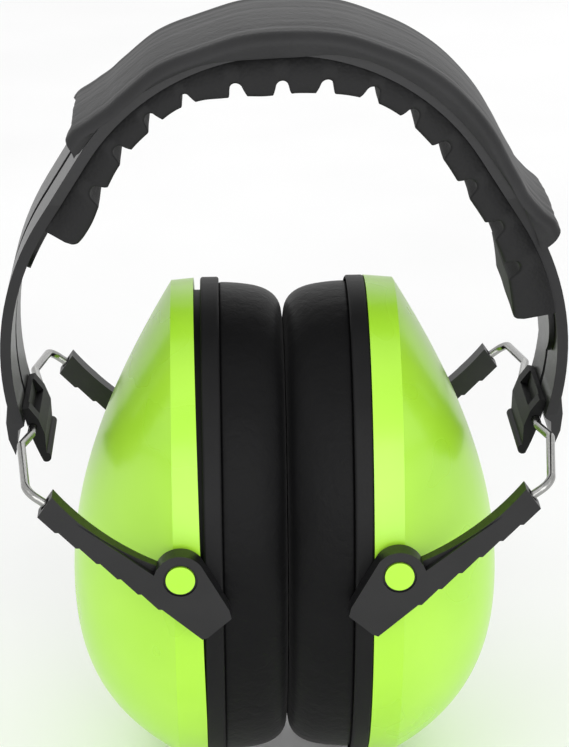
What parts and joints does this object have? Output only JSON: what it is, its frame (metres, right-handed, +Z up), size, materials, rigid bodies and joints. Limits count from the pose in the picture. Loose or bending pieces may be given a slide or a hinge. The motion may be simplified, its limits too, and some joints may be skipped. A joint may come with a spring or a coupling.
{
  "type": "earmuff hearing protector",
  "caption": "Passive over-head earmuff: padded, covered headband with sliding size adjusters, bent-wire yokes with pivot levers, and oval domed ear cups with soft cushions.",
  "frame": {"origin": "underside of the head pad's crown, on the centre plane, where the wearer's head meets it", "axes": "+Z up, from the head towards the crown; X across the head from the left cup (-X) to the right cup (+X); +Y towards the rear"},
  "size_m": [0.1046, 0.0772, 0.1476],
  "materials": {
    "band_plastic": "moulded nylon, fine satin grain",
    "liner_plastic": "thin polypropylene sheet, satin",
    "pad_foam": "skinned foam, matt",
    "cover_vinyl": "soft padded vinyl, satin sheen",
    "slider_plastic": "moulded nylon, fine satin grain",
    "lever_plastic": "moulded nylon, fine satin grain",
    "wire_steel": "drawn and polished spring wire",
    "shell_plastic": "moulded ABS, satin gloss lime green",
    "rim_plastic": "moulded ABS, fine satin grain",
    "ring_plastic": "moulded ABS",
    "cushion_skin": "smooth soft vinyl skin, satin",
    "open_foam": "open cell foam",
    "screen_cloth": "thin non-woven cloth"
  },
  "bodies": {
    "headband": {"headband_spring": "band_plastic", "headband_liner": "liner_plastic", "head_pad": "pad_foam", "band_cover": "cover_vinyl"},
    "left_slider_assembly": {"left_slider": "slider_plastic", "left_slider_key": "slider_plastic"},
    "left_yoke": {"left_wire_yoke": "wire_steel", "left_lever_front": "lever_plastic", "left_lever_rear": "lever_plastic"},
    "left_cup": {"left_cup_shell": "shell_plastic", "left_cup_foam": "open_foam", "left_rim_plate": "rim_plastic", "left_cushion_ring": "ring_plastic", "left_ear_cushion": "cushion_skin", "left_cushion_foam": "open_foam", "left_dust_screen": "screen_cloth"},
    "right_slider_assembly": {"right_slider": "slider_plastic", "right_slider_key": "slider_plastic"},
    "right_yoke": {"right_wire_yoke": "wire_steel", "right_lever_front": "lever_plastic", "right_lever_rear": "lever_plastic"},
    "right_cup": {"right_cup_shell": "shell_plastic", "right_cup_foam": "open_foam", "right_rim_plate": "rim_plastic", "right_cushion_ring": "ring_plastic", "right_ear_cushion": "cushion_skin", "right_cushion_foam": "open_foam", "right_dust_screen": "screen_cloth"}
  },
  "joints": [
    {"name": "left_size_adjustment", "type": "hinge", "parent": "headband", "child": "left_slider_assembly", "pos_m": [-0.0012, 0, -0.0505], "axis": [0, 1, 0], "range_deg": [0, 15]},
    {"name": "left_yoke_swing", "type": "hinge", "parent": "left_slider_assembly", "child": "left_yoke", "pos_m": [-0.04722, 0, -0.06483], "axis": [0, 1, 0], "range_deg": [-3, 13]},
    {"name": "left_cup_tilt", "type": "hinge", "parent": "left_yoke", "child": "left_cup", "pos_m": [-0.0197, 0, -0.0834], "axis": [0, 1, 0], "range_deg": [-8, 8], "deforming": ["left_ear_cushion", "left_cushion_foam"]},
    {"name": "right_size_adjustment", "type": "hinge", "parent": "headband", "child": "right_slider_assembly", "pos_m": [0.0012, 0, -0.0505], "axis": [0, -1, 0], "range_deg": [0, 15], "deforming": ["headband_liner"]},
    {"name": "right_yoke_swing", "type": "hinge", "parent": "right_slider_assembly", "child": "right_yoke", "pos_m": [0.04722, 0, -0.06483], "axis": [0, -1, 0], "range_deg": [-3, 13]},
    {"name": "right_cup_tilt", "type": "hinge", "parent": "right_yoke", "child": "right_cup", "pos_m": [0.0197, 0, -0.0834], "axis": [0, -1, 0], "range_deg": [-8, 8], "deforming": ["right_ear_cushion", "right_cushion_foam"]}
  ]
}
